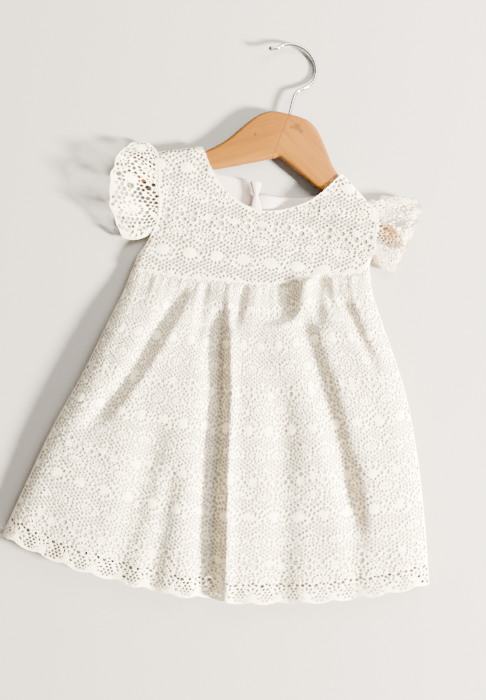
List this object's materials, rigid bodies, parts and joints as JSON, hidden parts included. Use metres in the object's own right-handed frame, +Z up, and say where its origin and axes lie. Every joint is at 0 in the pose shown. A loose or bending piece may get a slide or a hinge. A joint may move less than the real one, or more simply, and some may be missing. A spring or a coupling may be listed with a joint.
{
  "type": "child's lace dress laid flat on a wooden hanger",
  "caption": "Child's openwork lace dress with a jersey lining, flutter sleeves and a gathered scalloped skirt, laid on its back with a wooden hanger in its shoulders.",
  "frame": {"origin": "centre of the footprint, on the surface that the dress lies on", "axes": "+Z up from the surface, +Y from the hem to the neck, +X to the right of the dress as it is seen from above"},
  "size_m": [0.453, 0.5926, 0.0337],
  "materials": {
    "lace": "matte cotton lace",
    "jersey": "smooth cotton jersey",
    "wood": "satin varnish",
    "wire": "polished",
    "button": "gloss"
  },
  "bodies": {
    "root": {"bodice_front_lace": "lace", "bodice_front_lining": "jersey", "bodice_back_left_lace": "lace", "bodice_back_left_lining": "jersey", "bodice_back_right_lace": "lace", "bodice_back_right_lining": "jersey", "sleeve_left_upper": "lace", "sleeve_left_under": "lace", "sleeve_right_upper": "lace", "sleeve_right_under": "lace", "skirt_front_lace": "lace", "skirt_front_lining": "jersey", "skirt_back_lace": "lace", "skirt_back_lining": "jersey", "back_button": "button", "button_loop": "lace", "hanger_arms": "wood", "hanger_hook": "wire"}
  },
  "joints": []
}
